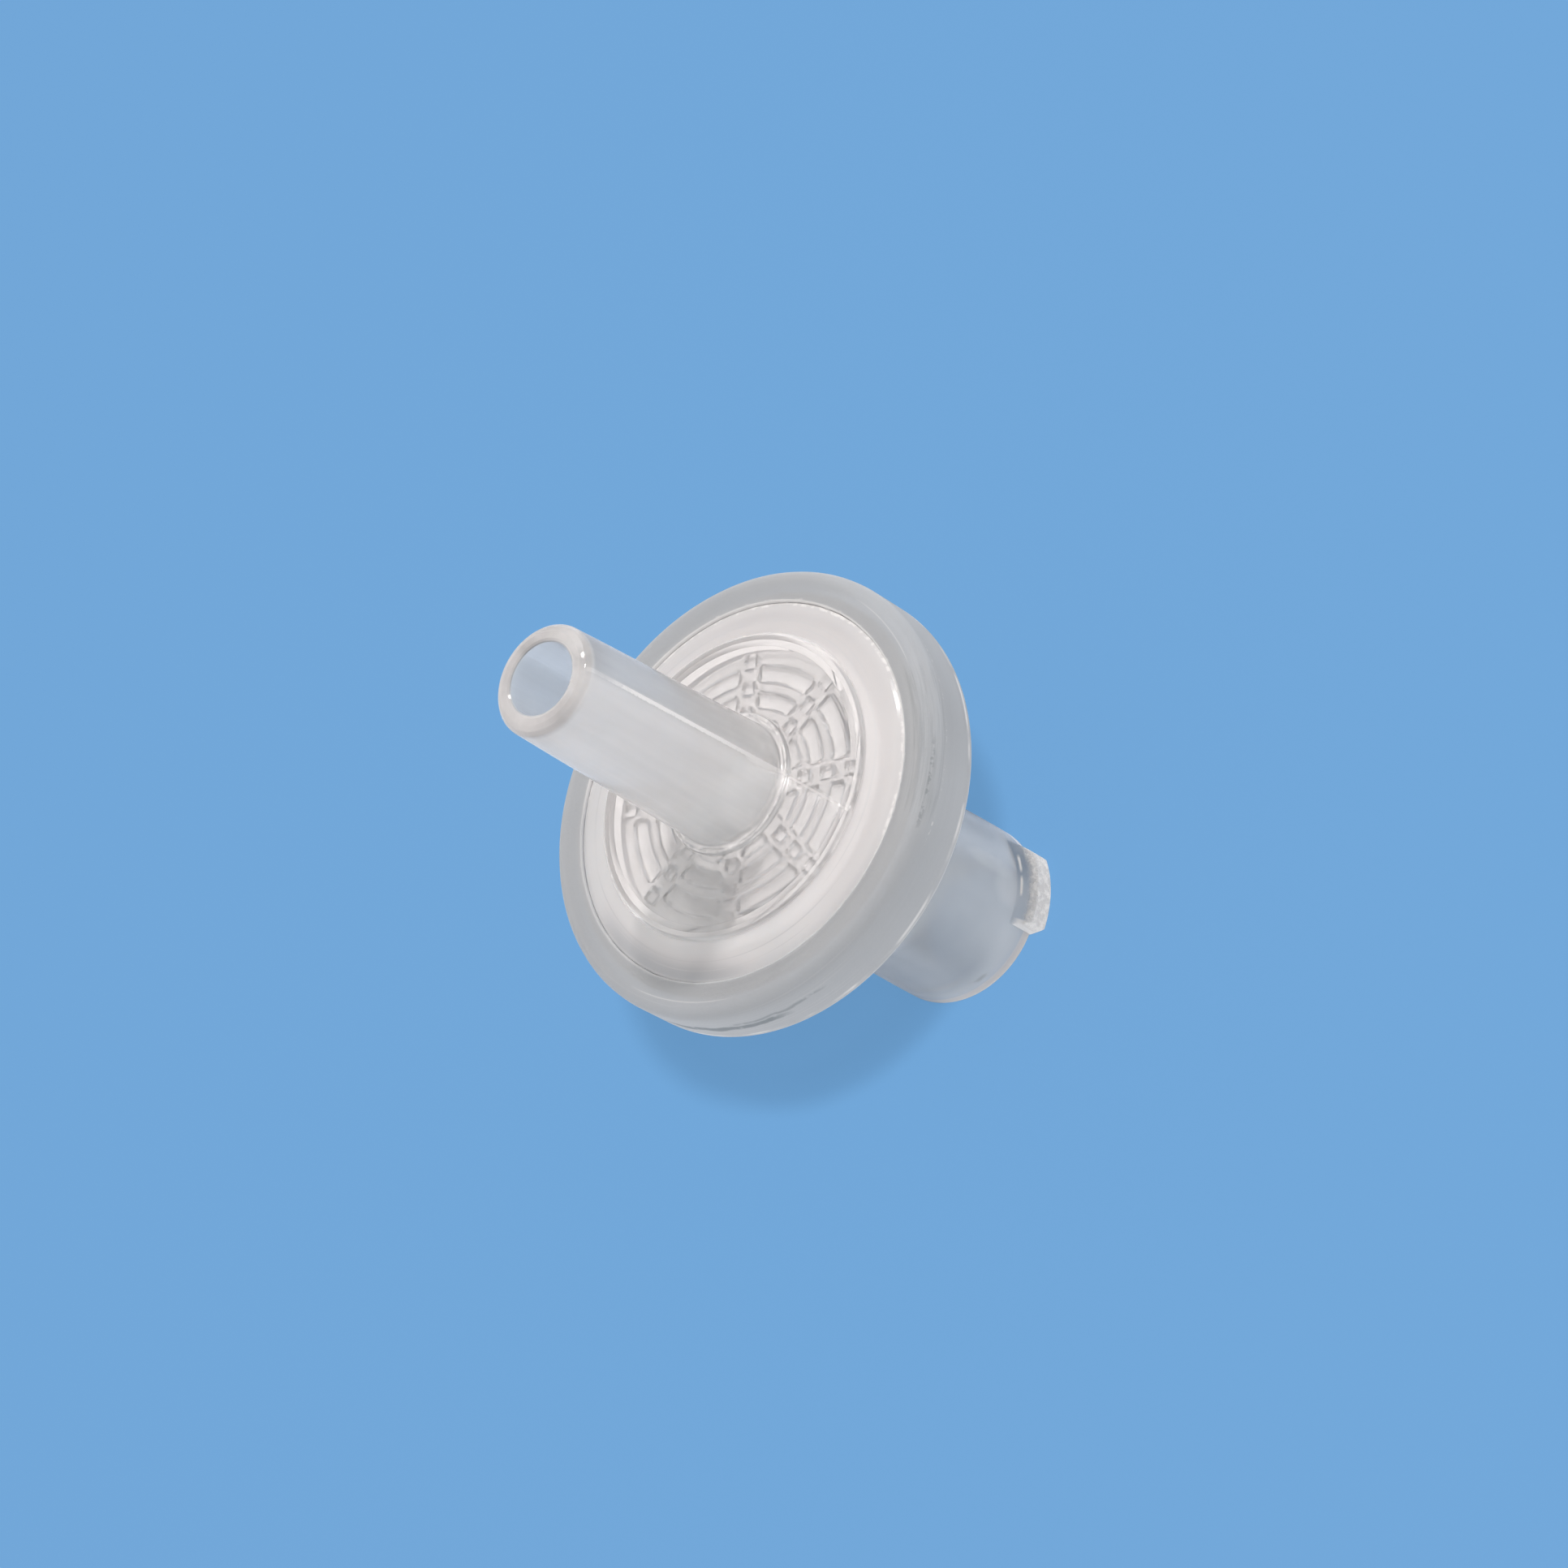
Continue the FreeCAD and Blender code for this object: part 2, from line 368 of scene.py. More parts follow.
# %% [markdown]
# ## Inlet housing
#
# The other moulding carries the luer lock: a barrel with a conical socket and two ears
# at its end. An ear is a short bar round part of the barrel. One end is cut steeply, the
# other runs in, and towards the disc it slopes down. Two bars set against the barrel
# would need a union. A swelling of the barrel's own radius needs none: at each point it
# is the lower one of the ear's outline round the axis and its flank along it. The barrel's
# end lies at height 0, so the levels along the barrel are counted from there.

# %% The ears
barrel_end_radius = 3.36
barrel_foot_radius = 3.24
barrel_edge_round = 0.12
ear_rise = 0.57
ear_degrees = (-29.0, -24.0, 15.0, 29.0)
ear_crest_end = 0.85
ear_flank_end = 1.30
swelling_start = 2.6


def ear_swell(radius, z, angle):
    """How far a point of the barrel moves out, in millimetres.

    Round the axis the outline climbs to the ear's rise over its steep end and falls over
    its long end. Along the axis it stays up to the crest's end and falls over the flank.
    On the flat end face the swelling grows from nothing near the socket to all at the edge.
    """
    fold = (angle + np.pi / 2) % np.pi - np.pi / 2
    around = np.interp(fold, np.radians(ear_degrees), [0, ear_rise, ear_rise, 0])
    along = np.interp(z, [0, ear_crest_end, ear_flank_end], [ear_rise, ear_rise, 0])
    face_width = barrel_end_radius - barrel_edge_round - swelling_start
    on_face = np.clip((radius - swelling_start) / face_width, 0, 1)
    return np.minimum(around, along) * on_face


# %% [markdown]
# Under the membrane the inlet's floor has eight low radial bars that spread the liquid.
# They are a height over the floor, worked out as the ribs are.

# %% The bars
bar_width = 0.5
bar_height = 0.3
bar_corner = 0.1
bar_flank = 0.16
bar_start = 2.0
bar_stop = chamber_radius - 0.4


def bar_rise(radius, angle):
    """1 on top of a bar and 0 beside it, from the distances to its side and its end."""
    fold = (angle + sector / 2) % sector - sector / 2
    across = radius * np.abs(np.sin(fold)) - bar_width / 2
    along = np.abs(radius - (bar_start + bar_stop) / 2) - (bar_stop - bar_start) / 2
    return flank_rise(box_distance(across, along, bar_corner), bar_flank)


# %% [markdown]
# The inlet's section also goes once round: in along the chamber's floor, down the feed
# hole and the socket, out over the barrel's end and up to the flange. The barrel's rows
# stand close where an ear's crest and flank end. Above the ears it leans in a little.

# %% Section of the inlet housing
socket_mouth_radius = 2.15
mouth_chamfer = 0.12
socket_floor = 8.2
feed_hole_radius = 0.8
barrel_fillet = 0.45
barrel_lean = 0.01
lean_start = 0.004
floor_rows = np.concatenate([[chamber_radius - 0.02], around_edge([bar_stop], bar_flank)[::-1],
                             np.linspace(bar_stop - 0.3, bar_start + 0.3, 6),
                             around_edge([bar_start], bar_flank)[::-1], [1.7, 1.3, 0.95]])
crest_rows = [0.25, 0.45, 0.65, *(ear_crest_end + past for past in (-0.07, -0.03, 0, 0.03, 0.07))]
flank_rows = [1.0, 1.1, 1.2, *(ear_flank_end + past for past in (-0.04, 0, 0.04, 0.10))]
inlet_section = outline([
    *[(radius, inlet_floor, 0) for radius in floor_rows],
    (feed_hole_radius, inlet_floor, 0.1),
    (feed_hole_radius, socket_floor, 0.04),
    (socket_mouth_radius - luer_lean * socket_floor, socket_floor, 0.1),
    *[(socket_mouth_radius - luer_lean * z, z, 0) for z in (5, 2)],
    (socket_mouth_radius, mouth_chamfer, edge_round),
    (socket_mouth_radius + mouth_chamfer, inlet_bottom, edge_round),
    (swelling_start, inlet_bottom, 0),
    (swelling_start + 0.3, inlet_bottom, 0),
    (barrel_end_radius, inlet_bottom, barrel_edge_round),
    *[(barrel_end_radius, z, 0) for z in crest_rows],
    *[(barrel_end_radius - lean_start, z, 0) for z in flank_rows],
    *[(barrel_end_radius - barrel_lean * z, z, 0) for z in (3, 5, 7)],
    (barrel_foot_radius, inlet_face, barrel_fillet),
    (4.4, inlet_face, 0),
    (land_inner_radius, inlet_face, 0),
    (land_outer_radius, inlet_land, edge_round),
    (land_outer_radius, inlet_flange, corner_round),
    (flange_radius, inlet_flange, flange_round),
    (flange_radius, flange_joint - moulding_gap, edge_round),
    (membrane_radius, flange_joint - moulding_gap, corner_round),
    (membrane_radius, membrane_bottom, corner_round),
    (chamber_radius, membrane_bottom, edge_round),
    (chamber_radius, inlet_floor, 0.01),
    (floor_rows[0], inlet_floor, 0),
])[:-1]
print(len(inlet_section), "rows in the inlet housing")

# %% Make the inlet housing
ear_edges = np.radians(np.add.outer(ear_degrees, (-0.5, 0, 0.5))).ravel()
angle = np.concatenate([full_turn(320), ear_edges % TURN, ear_edges + np.pi])
angle = np.unique(np.round(angle, 4))[None, :]
radius = inlet_section[:, :1]
z = inlet_section[:, 1:]
on_floor = (np.arange(len(radius)) < len(floor_rows))[:, None]
raised = z + np.where(on_floor, bar_rise(radius, angle), 0) * bar_height
on_barrel = (z < ear_flank_end + 0.1) & (radius > swelling_start - 0.1)
swollen = radius + np.where(on_barrel, ear_swell(radius, z, angle), 0)
inlet = skin("inlet_housing_smooth", around_axis(swollen, angle, raised))

# %% [markdown]
# ## Membrane
#
# The filter itself is a thin white disc, clamped at its edge. Its section stops short of
# the axis, and a fan of triangles round one point closes each end: a row of zero radius
# would leave a ring of faces with no area there.

# %% Make the membrane
edge_margin = 0.02
face_margin = 0.005
fan_radius = 0.5
membrane_section = outline([
    (fan_radius, membrane_bottom + face_margin, 0),
    (membrane_radius - edge_margin, membrane_bottom + face_margin, edge_round),
    (membrane_radius - edge_margin, membrane_top - face_margin, edge_round),
    (fan_radius, membrane_top - face_margin, 0),
])
angle = full_turn(192)[None, :]
wall = around_axis(membrane_section[:, :1], angle, membrane_section[:, 1:]).reshape(-1, 3)
poles = np.array([(0, 0, membrane_section[0, 1]), (0, 0, membrane_section[-1, 1])])
index = np.arange(len(wall)).reshape(-1, angle.size)
ahead = np.roll(index, -1, axis=1)
sides = np.stack((index[:-1], ahead[:-1], ahead[1:], index[1:]), axis=-1).reshape(-1, 4)
bottom_fan = np.column_stack((np.full(angle.size, len(wall)), ahead[0], index[0]))
top_fan = np.column_stack((np.full(angle.size, len(wall) + 1), index[-1], ahead[-1]))
membrane = add_piece("filter_membrane_disc", np.vstack((wall, poles)), sides,
                     np.vstack((bottom_fan, top_fan)))

# %% [markdown]
# ## Sealing ring
#
# The ring is moulded over both flanges after the filter is put together, so its section
# is a C that reaches round them. Its front edge is round, its rear edge is cut at a
# slant. The inner lip on the outlet side is a little ragged on the real thing, where the
# plastic crept along the land: a sum of three small sine waves round the axis shows that.
# The first and the last point of its outline only give the direction of the lip's wall.

# %% Make the ring
lip_radius = land_outer_radius + 0.006
lip_end_radius = 7.2
flange_gap = 0.01
ring_cut = 0.4
front_round = 0.5
ragged_size = 0.005
run_on = 0.1
ring_section = outline([
    (lip_radius, outlet_flange - run_on, 0),
    (lip_radius, outlet_flange + flange_gap, 0.005),
    (flange_radius + flange_gap, outlet_flange + flange_gap, flange_round),
    (flange_radius + flange_gap, inlet_flange - flange_gap, flange_round),
    (lip_radius, inlet_flange - flange_gap, corner_round),
    (lip_radius, ring_bottom, 0.08),
    (ring_radius - ring_cut, ring_bottom, 0.15),
    (ring_radius, ring_bottom + ring_cut, 0.15),
    *[(ring_radius, ring_top - down, 0) for down in (1.72, 1.02)],
    (ring_radius, ring_top, front_round),
    (lip_end_radius, ring_top, 0),
    (lip_radius, ring_top, 0.07),
    (lip_radius, outlet_flange + run_on, 0),
])[1:-1]
angle = full_turn(384)[None, :]
radius = ring_section[:, :1]
z = ring_section[:, 1:]
at_lip = (radius < lip_end_radius - 0.1) & (z > outlet_land + 0.02)
ragged = sum(np.sin(count * angle + shift) / share
             for count, shift, share in ((23, 0.4, 1), (41, 1.9, 1.3), (89, 4.1, 1.6)))
radius = radius + np.where(at_lip, ragged_size * ragged, 0)
ring = skin("sealing_ring_smooth", around_axis(radius, angle, z))

# %% [markdown]
# ## Shader maths as plain expressions
#
# A finish is mostly arithmetic on the place of a point: how far from the axis, how high,
# how near an edge. Chains of Math nodes hide it, so a small class wraps a node's output
# socket, and writing a + b or 1 - mask adds the node that does it.

# %% A socket that can be reckoned with
class Signal:
    """One output socket of a node tree, used as a number in Python expressions."""

    def __init__(self, tree, socket=None):
        self.tree = tree
        self.socket = socket

    def node(self, kind, settings=(), sockets=(), output=0):
        """Adds a node, applies its settings first, then fills its sockets with values or links."""
        made = self.tree.nodes.new(kind)
        for name, value in dict(settings).items():
            setattr(made, name, value)
        for name, value in dict(sockets).items():
            if isinstance(value, Signal):
                self.tree.links.new(value.socket, made.inputs[name])
            else:
                made.inputs[name].default_value = value
        return Signal(self.tree, made.outputs[output] if len(made.outputs) else None)

    def math(self, operation, first, second=0.0):
        """Adds one Math node on one or two numbers."""
        return self.node("ShaderNodeMath", {"operation": operation}, {0: first, 1: second})

    def __add__(self, other):
        return self.math("ADD", self, other)

    def __sub__(self, other):
        return self.math("SUBTRACT", self, other)

    def __rsub__(self, other):
        return self.math("SUBTRACT", other, self)

    def __mul__(self, other):
        return self.math("MULTIPLY", self, other)

    def __abs__(self):
        return self.math("ABSOLUTE", self)

    __radd__ = __add__
    __rmul__ = __mul__

    def larger(self, other):
        """The larger one of this number and another."""
        return self.math("MAXIMUM", self, other)

    def folded(self, limit):
        """This number folded back and forth between 0 and a limit, as a paper strip is."""
        return self.math("PINGPONG", self, limit)

    def step(self, start, stop):
        """An S-shaped change from 0 where this number is start to 1 where it is stop."""
        return self.node("ShaderNodeMapRange", {"interpolation_type": "SMOOTHSTEP"},
                         {"Value": self, "From Min": start, "From Max": stop})

    def band(self, start, stop, soft):
        """1 between start and stop, with soft edges."""
        return self.step(start - soft, start + soft) * self.step(stop + soft, stop - soft)

    def tint(self, low, high):
        """A colour between two colours, by this number. Either colour may be a signal itself."""
        ends = [end if isinstance(end, Signal) else (*end, 1) for end in (low, high)]
        return self.node("ShaderNodeMix", {"data_type": "RGBA"}, {0: self, 6: ends[0], 7: ends[1]}, 2)

    def blend(self, first, second):
        """A shader between two shaders, by this number."""
        return self.node("ShaderNodeMixShader", sockets={0: self, 1: first, 2: second})


# %% [markdown]
# Every finish starts from the same few numbers: the place of a point in millimetres, its
# distance from the axis, its height and its angle round the axis. Noise read at the
# place gives clouds. Noise that runs fast outwards and slowly round gives turned marks,
# and slow noise along the axis gives the streaks of a part drawn from its mould. Both are
# read at x and y rather than at the angle, which would leave a seam.

# %% Start of a finish
class Finish:
    """A new material with the place of a point as numbers to reckon with."""

    def __init__(self, name):
        self.material = bpy.data.materials.new(name)
        self.material.use_nodes = True
        self.material.node_tree.nodes.clear()
        start = Signal(self.material.node_tree)
        self.node = start.node
        self.math = start.math
        place = self.node("ShaderNodeTexCoord", output=3)
        self.place = self.node("ShaderNodeVectorMath", {"operation": "SCALE"}, {0: place, "Scale": 1 / MM})
        self.x, self.y, self.z = (self.node("ShaderNodeSeparateXYZ", sockets={0: self.place}, output=axis)
                                  for axis in range(3))
        self.radius = self.math("SQRT", self.x * self.x + self.y * self.y)
        self.angle = self.math("ARCTAN2", self.y, self.x)
        self.outside = 1 - self.node("ShaderNodeNewGeometry", output=6)

    def noise(self, scale, detail=2.0, rough=0.5, place=None):
        """Cloudy noise from 0 to 1 with about scale blobs in a millimetre."""
        return self.node("ShaderNodeTexNoise", sockets={
            "Vector": place or self.place, "Scale": scale, "Detail": detail, "Roughness": rough})

    def turned(self, along, across):
        """Noise in rings: it changes slowly with x and y, and fast with the radius less the height."""
        place = self.node("ShaderNodeCombineXYZ", sockets={
            0: self.x * along, 1: self.y * along, 2: (self.radius - self.z) * across})
        return self.noise(1.0, 3.0, 0.6, place)

    def drawn(self, along, across):
        """Noise in streaks along the axis: it changes slowly with the height, and fast with x and y."""
        place = self.node("ShaderNodeCombineXYZ", sockets={
            0: self.x * across, 1: self.y * across, 2: self.z * along})
        return self.noise(1.0, 2.0, 0.5, place)

    def facing(self, degrees_from, degrees_to, soft=4.0):
        """1 where the angle round the axis lies between two angles in degrees, with soft ends."""
        return self.angle.band(math.radians(degrees_from), math.radians(degrees_to), math.radians(soft))

    def oval(self, degrees, reach, middle, long, wide):
        """1 inside an oval: long is its half-length round the axis, wide its half-width in reach."""
        along = (self.angle - math.radians(degrees)) * self.radius * (1 / long)
        across = (reach - middle) * (1 / wide)
        return (along * along + across * across).step(1.0, 0.0)

    def marks(self, white, dark, white_colour, dark_colour):
        """Strength and colour of marks: the stronger mark counts, dark ones from an eighth upwards."""
        return white.larger(dark) * self.outside, (dark * 8).tint(white_colour, dark_colour)

    def surface(self, shader):
        """Gives the material a shader as its surface, and returns the material."""
        self.node("ShaderNodeOutputMaterial", sockets={"Surface": shader})
        print(self.material.name, len(self.material.node_tree.nodes), "nodes")
        return self.material


# %% [markdown]
# ## Natural polypropylene
#
# This plastic is neither clear nor white: some light goes straight through a wall and some
# is scattered inside it. A scattering volume would be the true model, but it takes
# hundreds of samples to look clean. Two shaders mixed look the same on thin walls: glass
# for the light that goes through, and skin-like scattering for the rest. The milk is
# counted where light enters a wall, so the faces inside the plastic stay clear and show
# the ribs sharply. For shadows, the clear share lets light pass straight on, because a
# path tracer finds no light through bending glass.

# %% The plastic
plastic_ior = 1.49
scatter_reach = 0.35


def plastic(finish, milk, milk_colour, clear_rough, milk_rough, height, depth, marks, mark_colour):
    """Mixes clear and milky plastic by the milk, with dull marks on top of both.

    The height and the depth in millimetres make the bump. A mark is a scuff, a smear, a dark
    arc, a thin skin of crept plastic, or painted light: a highlight, a glint or a reflection.
    It scatters at the surface, so its edge stays crisp.
    """
    normal = finish.node("ShaderNodeBump", sockets={
        "Height": height, "Strength": 1.0, "Distance": depth * MM})
    glass = finish.node("ShaderNodeBsdfPrincipled", sockets={
        "Base Color": (0.98, 0.98, 0.98, 1), "Roughness": clear_rough, "IOR": plastic_ior,
        "Transmission Weight": 1.0, "Normal": normal})
    open_way = finish.node("ShaderNodeBsdfTransparent", sockets={0: (0.95, 0.95, 0.95, 1)})
    for_shadow = finish.node("ShaderNodeLightPath", output=1)
    clear = for_shadow.blend(glass, open_way)
    milky = finish.node("ShaderNodeBsdfPrincipled", sockets={
        "Base Color": milk_colour, "Roughness": milk_rough, "IOR": plastic_ior,
        "Subsurface Weight": 1.0, "Subsurface Scale": scatter_reach * MM,
        "Subsurface Radius": (1.0, 0.95, 0.9), "Normal": normal})
    dull = finish.node("ShaderNodeBsdfPrincipled", sockets={
        "Base Color": mark_colour, "Roughness": 0.5, "Normal": normal})
    return finish.surface(marks.blend((milk * finish.outside).blend(clear, milky), dull))


# %% [markdown]
# ## Edges of the ribs
#
# A see-through rib is known by its edges alone: the small radii along them catch the
# light, broken here and there, and nothing else of it is bright. Light caught like that
# takes a path tracer very long to find. So the edges are drawn as marks, from the same
# numbers that shape the ribs, and only on the inside of the ceiling: the eye meets them
# through the plate, bent and overlaid as they should be.

# %% Marks on the ribs
line_inset = 0.07


def rib_distances(f):
    """How far a point is from the nearest channel's middle, post's middle and rib's middle.

    The angle is folded back and forth over half a sector and the radius over half a pitch.
    """
    aside = (f.angle - float(channel_turn)).folded(sector / 2) * f.radius
    from_post = (f.radius - float(rib_middles[0] + rib_pitch / 2)).folded(rib_pitch / 2)
    return aside, from_post, rib_pitch / 2 - from_post


def rib_edges(f):
    """Bright outlines of the ribs and the posts, on the inside of the chamber's ceiling.

    A line is where the distance from an edge, or from an inset of it, is next to nothing.
    """
    aside, from_post, from_rib = rib_distances(f)
    side = abs(from_rib - rib_width / 2 + line_inset).step(0.05, 0.025)
    side = side * aside.step(channel_width / 2, channel_width / 2 + 0.06)
    end = abs(aside - channel_width / 2 - line_inset).step(0.045, 0.02)
    end = end * from_rib.step(rib_width / 2 - 0.02, rib_width / 2 - 0.08)
    post = abs(from_post.larger(aside) - post_width / 2).step(0.05, 0.02)
    corner = abs(from_post - aside).step(0.10, 0.04)
    broken = f.noise(1.5, 3.0, 0.6)
    lines = side * broken.step(0.36, 0.56) * 0.9 + end * 0.6 + post * (corner * 0.9 + 0.1)
    ribbed = f.radius.band(rib_first_radius - 0.1, chamber_radius - 0.08, 0.02)
    return lines * ribbed * f.z.step(outlet_floor + 0.04, outlet_floor + 0.01) * (1 - f.outside)


# %% [markdown]
# ## The outlet's plastic
#
# How milky the moulding looks goes with its thickness: little in the thin plate, more in
# the spout, most in the thick land. The spout is clearer on one side, and painted darker
# there as painted shade. A painted highlight runs as a fine beaded line along the border
# of that side and ends in a bright painted fleck at its foot, and a painted reflection of
# that line crosses the plate. Along the ring a thin skin of the ring's plastic has crept
# over the land's edge, brightest on the side where the ring was filled, and a faint white
# rim all round that edge is painted light over the shade of the gap to the ring. A short
# stretch of that edge came out of the mould polished. The land is painted lighter on the
# side away from the key lamp and darker near its edge where the spout's shadow falls, and
# the plate is painted whiter in that shadow: painted light and painted shade.
# Angles are in degrees round the axis: where a stretch starts, where it ends and, as the
# third number, how softly.

# %% Outlet housing plastic
filled_side = (-38, 165, 12)
# The sector where the spout's shadow falls on the plate.
spout_shadow_sector = (-145, -88, 12)
clear_side_start = -6.5
reflection_turn = math.radians(39)
reflection_offset = 1.22
# White of the outlet's marks: the crept skin, and the painted highlights and reflection.
film_and_highlight_white = (0.97, 0.95, 0.935, 1)


def outlet_finish():
    """Milky spout with a painted highlight, clear plate with a painted reflection, and a thick land with a
    crept edge.
    """
    f = Finish("outlet polypropylene")
    from_edge = land_outer_radius - f.radius
    spout = f.z.step(hub_top - 0.1, hub_top + 0.3)
    up_spout = f.z.step(hub_top, hub_top + 5.0)
    lip = f.z.step(spout_tip - 0.45, spout_tip - 0.25)
    land = f.radius.step(plate_radius, land_inner_radius + 0.05)
    beads = f.noise(6.0, 2.0, 0.7)
    on_wall = f.radius.step(spout_tip_radius - 0.17, spout_tip_radius - 0.07)
    # Painted highlight: a beaded bright line along the spout, fading near the tip.
    highlight_line = abs((f.angle - math.radians(clear_side_start)) * f.radius + (beads - 0.5) * 0.04)
    highlight_line = highlight_line.step(0.10, 0.045) * spout * (0.45 + beads * 1.3) * on_wall
    highlight_line = highlight_line * (1 - f.z.step(spout_tip - 2.6, spout_tip - 0.7) * 0.8)
    # Painted highlight: a bright fleck at the foot of that line.
    star = f.oval(-9, f.z, hub_top + 0.9, 0.16, 1.0) * spout
    # Painted reflection: the spout's highlight line mirrored in the plate, drawn as a fixed line.
    reflection_across = f.x * math.sin(reflection_turn) + f.y * math.cos(reflection_turn) - reflection_offset
    reflected_line = abs(reflection_across).step(0.06, 0.015) * (1 - spout) * f.facing(-28, -8, 2)
    on_plate = f.radius.band(spout_foot_radius + 0.034, plate_radius, 0.05)
    reflected_line = reflected_line * on_plate * (0.75 - f.radius * 0.08)
    foot = f.radius.band(hub_radius - 0.12, hub_radius - 0.04, 0.03) * f.noise(1.6).step(0.45, 0.6) * 0.6
    patches = f.noise(4.0).step(0.50, 0.58)
    crept_and_gap_light = from_edge.step(0.56, 0.14) * 0.25 + from_edge.step(0.16, 0.10) * patches * 0.7
    # Partly painted light: the faint white rim all round the edge is painted over the shade of the gap to the
    # ring.
    crept_and_gap_light = crept_and_gap_light * f.facing(*filled_side) + from_edge.step(0.12, 0.06) * 0.28
    # Painted shade: the clearer side of the spout is also painted darker, more so up the spout.
    clearer_darker_side = f.facing(clear_side_start, 125, 9) * spout * (0.65 + up_spout * 0.5)
    streaks = (f.drawn(0.12, 1.6) - 0.5) * spout
    bore = f.radius.step(spout_bore_radius + 0.065, spout_bore_radius + 0.015)
    milk = 0.36 + spout * 0.38 + land * 0.44 - bore * 0.2
    milk = milk + (f.noise(0.45) - 0.5) * 0.12 + streaks * 0.25 - clearer_darker_side * 0.2
    tube_colour = up_spout.tint((0.985, 0.965, 0.955), (0.87, 0.855, 0.85))
    tube_colour = clearer_darker_side.tint(tube_colour, (0.61, 0.61, 0.615))
    # Painted light: the land is painted lighter on the side away from the key lamp, darker where it faces it.
    key_facing_side = f.facing(-38, 110, 40)
    land_colour = key_facing_side.tint((0.93, 0.905, 0.90), (0.82, 0.795, 0.79))
    # Painted shade: the land's outer part is darker in the sector where the spout's shadow falls.
    painted_shadow = from_edge.step(0.96, 0.21) * f.facing(-150, -92, 10)
    land_colour = (painted_shadow * 0.8).tint(land_colour, (0.60, 0.605, 0.615))
    land_colour = f.turned(0.05, 4.0).step(0.40, 0.34).tint(land_colour, (0.80, 0.785, 0.785))
    # Painted light: the plate is whiter in the sector of the spout's shadow.
    plate_colour = f.facing(*spout_shadow_sector).tint((0.82, 0.80, 0.80), (0.96, 0.94, 0.935))
    # Painted light: the lip is painted lighter on one side.
    lip_colour = f.facing(-45, 60, 25).tint((0.735, 0.715, 0.71), (0.88, 0.86, 0.85))
    colour = spout.tint(land.tint(plate_colour, land_colour), tube_colour)
    colour = bore.tint(lip.tint(colour, lip_colour), (0.68, 0.71, 0.74))
    polished = from_edge.band(0.07, 0.20, 0.015) * (1 - spout) * f.facing(6, 20, 4)
    clear_rough = 0.02 + spout * 0.2 - lip * 0.17 + land * 0.4 - polished * 0.26
    milk_rough = 0.10 - lip * 0.05 + land * 0.4 - polished * 0.34
    marks = highlight_line + star + reflected_line + (foot + crept_and_gap_light * (1 - polished)) * (1 - spout)
    marks = marks * f.outside + rib_edges(f)
    return plastic(f, milk, colour, clear_rough, milk_rough, f.noise(1.4), 0.003, marks, film_and_highlight_white)


# %% [markdown]
# ## The inlet's plastic
#
# The barrel has a bluish cast, because more of what is seen there is the light from
# behind. It is painted darker on two sides and towards the disc, as painted shade. Its end
# rim is warmer and more solid. The ears were cut rough in the mould, so their outside is
# frosted: more milk, a coarse grain in the normal, and white flecks. Their steep ends and
# their feet carry painted highlights, two soft painted sheens lie on the barrel, and a
# smear lies along the barrel's end.

# %% Inlet housing plastic
rim_height = 0.40


def inlet_finish():
    """A bluish barrel with a warm rim, a smear, painted shade and painted highlights, and frosted ears.

    An angle worked out from y / x alone is the same at both ears.
    """
    f = Finish("inlet polypropylene")
    proud = f.radius - barrel_end_radius
    frosted = proud.step(0.19, 0.39) * f.z.step(ear_crest_end + 0.30, ear_crest_end + 0.05)
    ear_angle = f.math("ARCTANGENT", f.math("DIVIDE", f.y, f.x))
    steep_from, steep_to = (math.radians(degrees - 0.5) for degrees in ear_degrees[:2])
    # Painted highlight on the ears' steep ends.
    steep_end = ear_angle.band(steep_from, steep_to, 0.01) * proud.step(0.0, 0.06)
    steep_end = steep_end * f.z.step(ear_flank_end, ear_flank_end - 0.2)
    rim = f.z.step(rim_height + 0.07, rim_height) * (1 - frosted)
    cloud = f.noise(0.4)
    grain = f.noise(5.0, 3.0, 0.7)
    # Painted shade: the barrel is darker on two sides and towards the disc.
    shaded = f.facing(-112, -54, 24) * f.z.band(1.1, 5.2, 0.6) * 0.9 + f.z.step(1.5, 5.5) * 0.15
    shaded = shaded + f.facing(0, 100, 22) * 1.25
    smear = f.oval(-67.5, f.z + (grain - 0.5) * 0.2, 0.78, 0.42, 0.13)
    # Painted highlights: two soft sheens on the barrel.
    sheen = f.oval(1, f.z, 2.9, 0.4, 1.7) * 0.08 + f.oval(-9, f.z, 1.75, 0.8, 1.1) * 0.14
    # Painted highlights: short glints along the foot of the ears' flanks.
    foot = f.z.band(ear_flank_end - 0.11, ear_flank_end - 0.06, 0.02)
    glints = foot * (f.facing(5, 15, 2) + f.facing(-10, 1, 2))
    milk = 0.56 + frosted * 0.3 + rim * 0.2 + (cloud - 0.5) * 0.15
    barrel_colour = shaded.tint((0.75, 0.765, 0.775), (0.42, 0.44, 0.46))
    colour = frosted.tint(rim.tint(barrel_colour, (0.70, 0.675, 0.655)), (0.80, 0.785, 0.775))
    white = frosted * grain.step(0.46, 0.60) + steep_end * 0.8 + sheen + glints
    marks, mark_colour = f.marks(white, smear * 0.6, (0.97, 0.955, 0.94), (0.30, 0.33, 0.35))
    height = f.noise(1.2) * 0.04 + grain * frosted
    clear_rough = 0.2 + frosted * 0.15
    milk_rough = 0.14 + frosted * 0.2
    return plastic(f, milk, colour, clear_rough, milk_rough, height, 0.12, marks, mark_colour)
